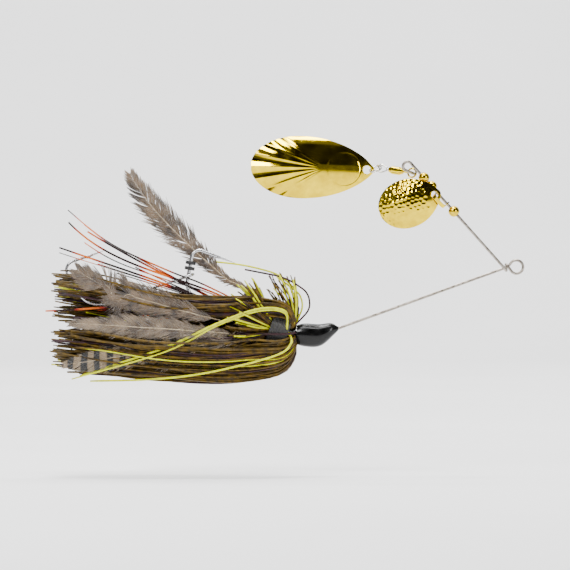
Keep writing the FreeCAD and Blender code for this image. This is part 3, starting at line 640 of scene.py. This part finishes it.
def find_hole(name, guess, reach):
    """Middle, axis and radius of a hole. Its wall is the faces by the guess that face back towards it."""
    mesh = nodes[name].data
    normals = np.array([face.normal for face in mesh.polygons])
    centres = np.array([face.center for face in mesh.polygons])
    areas = np.array([face.area for face in mesh.polygons])
    outward = (normals * areas[:, None])[normals[:, 1] < FACING].sum(axis=0)
    outward /= np.linalg.norm(outward)
    inward = np.einsum("ij,ij->i", normals, guess - centres)
    near = np.linalg.norm(centres - guess, axis=1) < reach
    wall = near & (np.abs(normals @ outward) < 0.45) & (inward > 0)
    middle = np.average(centres[wall], axis=0, weights=areas[wall])
    _, vectors = np.linalg.eigh((normals[wall] * areas[wall][:, None]).T @ normals[wall])
    axis_line = vectors[:, 0]
    across = centres[wall] - middle
    across -= np.outer(across @ axis_line, axis_line)
    radius = np.linalg.norm(across, axis=1).mean()
    print(name, "hole radius %.2f mm" % (radius * 1000), "at", [round(v * 1000, 2) for v in middle])
    return middle, axis_line, radius


# %% [markdown]
# A blade lies at a slant, so it gets axes of its own: x from the tip by the hole to the far end, z out of
# its front, and y across. The far end is the vertex farthest from the hole, and the tip is the one
# farthest from that.

# %% A blade's own frame, measured from its mesh
def blade_frame(name, hole):
    points = points_of(name)
    tail = points[np.argmax(np.linalg.norm(points - hole, axis=1))]
    tip = points[np.argmax(np.linalg.norm(points - tail, axis=1))]
    x = (tail - tip) / np.linalg.norm(tail - tip)
    total = np.zeros(3)
    for face in nodes[name].data.polygons:
        normal = np.array(face.normal)
        if normal[1] < 0:
            total += normal * face.area
    z = total - x * (total @ x)
    z /= np.linalg.norm(z)
    y = np.cross(z, x)
    local = (points - tip) @ np.array([x, y, z]).T
    wide = local[:, 1].max() - local[:, 1].min()
    middle = (local[:, 1].max() + local[:, 1].min()) / 2
    centre = np.array(hole) - tip
    return {
        "tip": tip, "x": x, "y": y, "z": z, "length": local[:, 0].max(), "width": wide, "middle": middle,
        "hole_x": centre @ x, "hole_y": centre @ y,
    }


# %% [markdown]
# The grid follows the blade's outline. A rounded curve widens it from the tip, and a quarter of an
# ellipse closes it at the far end. Cosine and sine spacing crowd the points at the ends and the rim,
# where the outline bends most.

# %% A grid over the outline
END_GAP, END_SPAN = 0.004, 0.992
RIM_SHARE = 0.985


def outline_grid(blade, widest, tail, rows, cols):
    """widest and tail are shares of the length: tip to widest place, and from there to the far end."""
    length = blade["length"]
    grid = np.zeros((rows, cols, 3))
    for i in range(rows):
        x = length * (END_GAP + END_SPAN * (1 - math.cos(math.pi * i / (rows - 1))) / 2)
        share = x / (length * widest)
        if share < 1:
            half = blade["width"] / 2 * math.sin(math.pi / 2 * share ** 0.72)
        else:
            beyond = (x - length * widest) / (length * tail)
            half = blade["width"] / 2 * math.sqrt(max(0.0, 1 - beyond ** 2))
        for j in range(cols):
            spread = math.sin(math.pi / 2 * (2 * j / (cols - 1) - 1))
            grid[i, j, :2] = (x, blade["middle"] + RIM_SHARE * half * spread)
    return grid


# %% [markdown]
# Each grid point is dropped on the CAD blade by a ray. A ray that misses at the rim steps inwards and
# tries again, which keeps the dressed rim from spilling past the CAD one. A second ray from behind finds
# the back of the sheet.

# %% Drape the grid on the blade
TRIES = 14
STEP_IN = 0.03
ABOVE = 0.05  # rays start this far in front of the blade, and as far behind it
DEFAULT_SHEET = 0.0001  # how far the back may sink where the second ray finds nothing
SKIN_GAP = 0.00002  # the dressed back stays this far above the CAD's


def drape(name, blade, grid, hole_r):
    """Sets each point's height and returns the lowest height that the back may have under it."""
    mesh = nodes[name].data
    tree = BVHTree.FromPolygons([v.co for v in mesh.vertices], [face.vertices for face in mesh.polygons])
    down = Vector(-blade["z"])
    lowest = np.zeros(grid.shape[:2])
    for i, j in np.ndindex(*grid.shape[:2]):
        spot = grid[i, j]
        for _ in range(TRIES):
            start = blade["tip"] + blade["x"] * spot[0] + blade["y"] * spot[1] + blade["z"] * ABOVE
            hit = tree.ray_cast(Vector(start), down)
            over_hole = math.hypot(spot[0] - blade["hole_x"], spot[1] - blade["hole_y"]) < hole_r * 1.1
            if hit[0] is not None or over_hole:
                break
            spot[1] += (blade["middle"] - spot[1]) * STEP_IN
        if hit[0] is None:
            hit = tree.find_nearest(Vector(start - blade["z"] * ABOVE))
        spot[2] = (np.array(hit[0]) - blade["tip"]) @ blade["z"]
        under = tree.ray_cast(Vector(start - blade["z"] * (2 * ABOVE)), -down)
        lowest[i, j] = spot[2] - DEFAULT_SHEET
        if under[0] is not None:
            lowest[i, j] = (np.array(under[0]) - blade["tip"]) @ blade["z"] + SKIN_GAP
    return lowest


# %% [markdown]
# The front takes the full relief and the back a share of it, as on thin stamped metal. The back is kept
# above the back of the CAD sheet and below the front. A strip of faces closes the rim, so the mesh is a
# closed skin.

# %% Front, back and rim
SHEET = 0.00050  # thickness of the stamped sheet
THINNEST = 0.00005


def sheet_mesh(name, blade, grid, lowest, press, back):
    verts = []
    rows, cols = grid.shape[:2]
    for share, drop in ((1.0, 0.0), (back, SHEET)):
        for i, j in np.ndindex(rows, cols):
            g = grid[i, j]
            height = g[2] + share * press[i, j] - drop
            if drop:
                height = min(max(height, lowest[i, j]), g[2] + press[i, j] - THINNEST)
            verts.append(blade["tip"] + blade["x"] * g[0] + blade["y"] * g[1] + blade["z"] * height)
    faces = []
    n = rows * cols
    for i, j in np.ndindex(rows - 1, cols - 1):
        a = i * cols + j
        faces.append((a, a + cols, a + cols + 1, a + 1))
        faces.append((n + a, n + a + 1, n + a + cols + 1, n + a + cols))
    rim = [i * cols for i in range(rows)] + [(rows - 1) * cols + j for j in range(1, cols)]
    rim += [i * cols + cols - 1 for i in range(rows - 2, -1, -1)] + list(range(cols - 2, 0, -1))
    for a, b in zip(rim, rim[1:] + rim[:1]):
        faces.append((a, n + a, n + b, b))
    mesh = bpy.data.meshes.new(name)
    mesh.from_pydata([tuple(v) for v in verts], [], faces)
    mesh.polygons.foreach_set("use_smooth", [True] * len(mesh.polygons))
    return mesh


# %% [markdown]
# The hole is cut with a boolean modifier and baked into the mesh at once. A cutter left as a live
# modifier would stay behind when the blade swings, and the hole would slide off it.

# %% Cut the hole
DRILL_SIDES = 40
DRILL_HALF = 0.004
DRILL_PLAY = 0.00004


def drill(name, hole, hole_r, normal):
    """A rod along the hole's axis, to cut with."""
    a = np.cross(normal, (1.0, 0.0, 0.0))
    a /= np.linalg.norm(a)
    b = np.cross(normal, a)
    verts = []
    for end in (-DRILL_HALF, DRILL_HALF):
        for k in range(DRILL_SIDES):
            t = 2 * math.pi * k / DRILL_SIDES
            verts.append(np.array(hole) + normal * end + hole_r * (a * math.cos(t) + b * math.sin(t)))
    faces = []
    for k in range(DRILL_SIDES):
        after = (k + 1) % DRILL_SIDES
        faces.append((k, after, DRILL_SIDES + after, DRILL_SIDES + k))
    faces += [tuple(reversed(range(DRILL_SIDES))), tuple(range(DRILL_SIDES, 2 * DRILL_SIDES))]
    mesh = bpy.data.meshes.new(name)
    mesh.from_pydata([tuple(v) for v in verts], [], faces)
    return place_object(name, mesh)


def cut_and_bake(obj, cutter):
    cut = obj.modifiers.new("hole", "BOOLEAN")
    cut.operation = "DIFFERENCE"
    cut.solver = "EXACT"
    cut.object = cutter
    bpy.context.view_layer.update()
    graph = bpy.context.evaluated_depsgraph_get()
    baked = bpy.data.meshes.new_from_object(obj.evaluated_get(graph))
    obj.modifiers.clear()
    obj.data = baked
    bpy.data.objects.remove(cutter)


# %% [markdown]
# With those helpers a dressed blade is a short list of steps.

# %% One dressed blade
HOLE_REACH = 0.0032  # wall faces are looked for this near the guess


def dressed_blade(name, body, guess, widest, tail, relief, rows, cols, back=1.0):
    hole, hole_axis, hole_r = find_hole(name, guess, HOLE_REACH)
    blade = blade_frame(name, hole)
    grid = outline_grid(blade, widest, tail, rows, cols)
    lowest = drape(name, blade, grid, hole_r)
    press = relief(grid[:, :, 0] - blade["hole_x"], grid[:, :, 1] - blade["hole_y"], blade["length"])
    mesh = sheet_mesh(name + "_dressed", blade, grid, lowest, press, back)
    obj = place_object(name + "_dressed", mesh, looks["gold_plate"])
    cut_and_bake(obj, drill(name + "_drill", hole, hole_r + DRILL_PLAY, hole_axis))
    print(name, "faces", len(obj.data.polygons))
    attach(obj, body)
    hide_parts(name)


# %% [markdown]
# The hammer marks are dimples on a jittered hexagonal grid. The flutes follow the size of a sine of the
# angle round their starting point, faded in from it so that the ribs rise out of smooth metal. The disc
# is a fine ring pressed round a slightly sunk face. Both reliefs are measured from the hole, x along the
# blade.

# %% The two reliefs
DIMPLE_PITCH = 0.0019
DIMPLE_DEPTH = 0.00030
HALF_FIELD = 0.013  # dimples are laid this far to each side of the middle
FIRST_DIMPLE = 0.0045


def hammered(x, y, length):
    local = random.Random(3)
    depth = np.zeros_like(x)
    row = 0
    cy = -HALF_FIELD
    while cy < HALF_FIELD:
        cx = FIRST_DIMPLE + (DIMPLE_PITCH / 2 if row % 2 else 0)
        while cx < length:
            ox = cx + local.uniform(-0.0003, 0.0003)
            oy = cy + local.uniform(-0.0003, 0.0003)
            d = np.sqrt((x - ox) ** 2 + (y - oy) ** 2) / (DIMPLE_PITCH * 0.62)
            depth = np.minimum(depth, -DIMPLE_DEPTH * np.clip(1 - d * d, 0, 1) * local.uniform(0.7, 1.1))
            cx += DIMPLE_PITCH
        cy += DIMPLE_PITCH * 0.87
        row += 1
    return depth


FAN_START = 0.342  # share of the length, from the hole
FAN_HALF = 0.66  # radians to each side
RIBS_PER_RADIAN = 17.0
RIB_SLOPE = -0.019
RIB_FULL = 0.034  # the ribs grow deeper as far as this
DISC_AT = 0.0099
DISC_R = 0.0070


def fluted(x, y, length):
    ax = length * FAN_START
    r = np.sqrt((x - ax) ** 2 + y ** 2)
    angle = np.arctan2(y, x - ax)
    fade = np.clip(r / 0.004, 0, 1) * np.clip((FAN_HALF - np.abs(angle)) / 0.05, 0, 1)
    ribs = RIB_SLOPE * np.minimum(r, RIB_FULL) * fade * np.abs(np.sin(angle * RIBS_PER_RADIAN))
    disc = np.sqrt((x - DISC_AT) ** 2 + y ** 2)
    ringed = -0.00014 * np.exp(-((disc - DISC_R) / 0.0003) ** 2)
    pressed = -0.00008 * np.clip((0.0068 - disc) / 0.0005, 0, 1)
    return ribs + ringed + pressed


# %% [markdown]
# The small blade's hole is by its joint, where the clevis passes through. The big blade's joint is where
# blade and ring touch, so its guess lies halfway between that and a point 4 mm in from the blade's end.

# %% Dress both blades
TIP_VERTS = 60
TIP_INSET = 0.0040
joints = {j["name"]: j for j in frame["record"]["behaviour"]["joints"]}
small_guess = np.array(joints["small_blade_swing"]["pos_m"])
big_points = points_of("big_blade")
tip_edge = big_points[np.argsort(big_points[:, 0])[-TIP_VERTS:]].mean(axis=0)
inset = tip_edge - np.array((TIP_INSET, 0, 0))
big_guess = np.array(joints["big_blade_swing"]["pos_m"]) * 0.5 + inset * 0.5
dressed_blade("small_blade", "small_spoon", small_guess, 0.557, 0.443, hammered, 150, 120, 0.3)
dressed_blade("big_blade", "big_spoon", big_guess, 0.603, 0.397, fluted, 240, 190)
print("2 blades dressed")

# %% [markdown]
# ## Light and floor
#
# Polished metal shows its surroundings more than itself. A blade lit evenly from all sides looks like
# yellow plastic. Three softboxes light the lure, and a dark card behind the camera is what the metal
# shows between them: together they give the hard light and dark bands that say metal. The floor and its
# curved back are one pale sheet, so no horizon cuts across the picture, and two more lights wash over it
# to keep it even.

# %% Studio
BELOW = 0.040  # the lure hangs this far above the floor
SHEET_HALF = 4.0
SHEET_TOP = 4.0
SHEET_FRONT = -3.0


def softbox(name, spot, aim, size, power):
    """A rectangular light at spot, turned to face aim. Size is in metres and power in watts."""
    data = bpy.data.lights.new(name, "AREA")
    data.shape = "RECTANGLE"
    data.size, data.size_y = size
    data.energy = power
    obj = place_object(name, data)
    obj.location = spot
    obj.rotation_euler = (Vector(aim) - Vector(spot)).to_track_quat("-Z", "Y").to_euler()


low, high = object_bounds()
mid = (np.array(low) + np.array(high)) / 2
floor_z = low[2] - BELOW
verts, faces = [], []
bend_y, bend_r = 2.4, 0.8
profile = [(SHEET_FRONT, 0.0), (bend_y, 0.0)] + [
    (bend_y + bend_r * math.sin(a), bend_r * (1 - math.cos(a))) for a in np.linspace(0.1, math.pi / 2, 14)
] + [(bend_y + bend_r, SHEET_TOP)]
for x in (-SHEET_HALF, SHEET_HALF):
    verts += [(x, y, floor_z + z) for y, z in profile]
n = len(profile)
faces = [(i, i + n, i + n + 1, i + 1) for i in range(n - 1)]
mesh = bpy.data.meshes.new("floor")
mesh.from_pydata(verts, [], faces)
mesh.polygons.foreach_set("use_smooth", [True] * len(mesh.polygons))
pale = material("pale floor", (0.86, 0.86, 0.86), (0.90, 0.90, 0.90), 0.85, 0.0, 3, 0.0)
floor = place_object("floor", mesh, pale)

card = bpy.data.meshes.new("dark_card")
foot = floor_z + 0.5
corners = [(-2.5, -2.4, foot), (2.5, -2.4, foot), (2.5, -1.9, 2.6), (-2.5, -1.9, 2.6)]
card.from_pydata(corners, [], [(0, 1, 2, 3)])
felt = material("black felt", (0.004, 0.004, 0.004), (0.008, 0.008, 0.008), 0.9, 0.0, 40, 0.0)
dark_card = place_object("dark_card", card, felt)

aim = tuple(mid)
softbox("key", (mid[0] - 0.7, -1.0, mid[2] + 0.9), aim, (0.35, 0.5), 15)
softbox("strip", (mid[0] + 0.9, -0.9, mid[2] + 0.1), aim, (0.12, 0.9), 9)
softbox("top", (mid[0] - 0.1, 0.12, mid[2] + 1.3), aim, (0.45, 0.35), 26)
softbox("floor wash", (mid[0], -0.6, mid[2] + 1.5), (mid[0], -0.3, floor_z), (1.2, 0.2), 20)
softbox("back wash", (mid[0], 1.2, mid[2] + 2.2), (mid[0], 3.0, mid[2]), (3.2, 0.8), 170)

world = bpy.data.worlds.new("studio")
bpy.context.scene.world = world
world.use_nodes = True
background = world.node_tree.nodes["Background"]
background.inputs["Color"].default_value = (0.75, 0.77, 0.8, 1)
background.inputs["Strength"].default_value = 0.22
print("floor %.0f mm below the lure" % (BELOW * 1000))

# %% [markdown]
# ## Camera
#
# A catalogue picture of a lure is taken square on, from far away with a long lens, so that the wire's V
# keeps its true angle. The lens here frames about a fifth more than the lure's length.

# %% Camera
SENSOR = 36.0  # millimetres, Blender's usual film width
MARGIN = 1.19
LOWERED = 0.011  # leaves more room under the lure than over it
span = (high[0] - low[0]) * MARGIN
distance = 1.6
camera_data = bpy.data.cameras.new("camera")
camera_data.lens = SENSOR * distance / span
camera_data.clip_end = 20
camera = place_object("camera", camera_data)
camera.location = (mid[0], mid[1] - distance, mid[2] - LOWERED)
camera.rotation_euler = (math.pi / 2, 0, 0)
bpy.context.scene.camera = camera
print("camera %.1f m away, frame %.0f mm wide" % (distance, span * 1000))

# %% [markdown]
# ## Size
#
# The dressed lure may be a little bigger than the CAD part: strands and barbs reach past the plates they
# stand for. The dressed lure's box is printed.

# %% Print the lure's box
print("scene box", [round(v, 4) for v in low], [round(v, 4) for v in high])
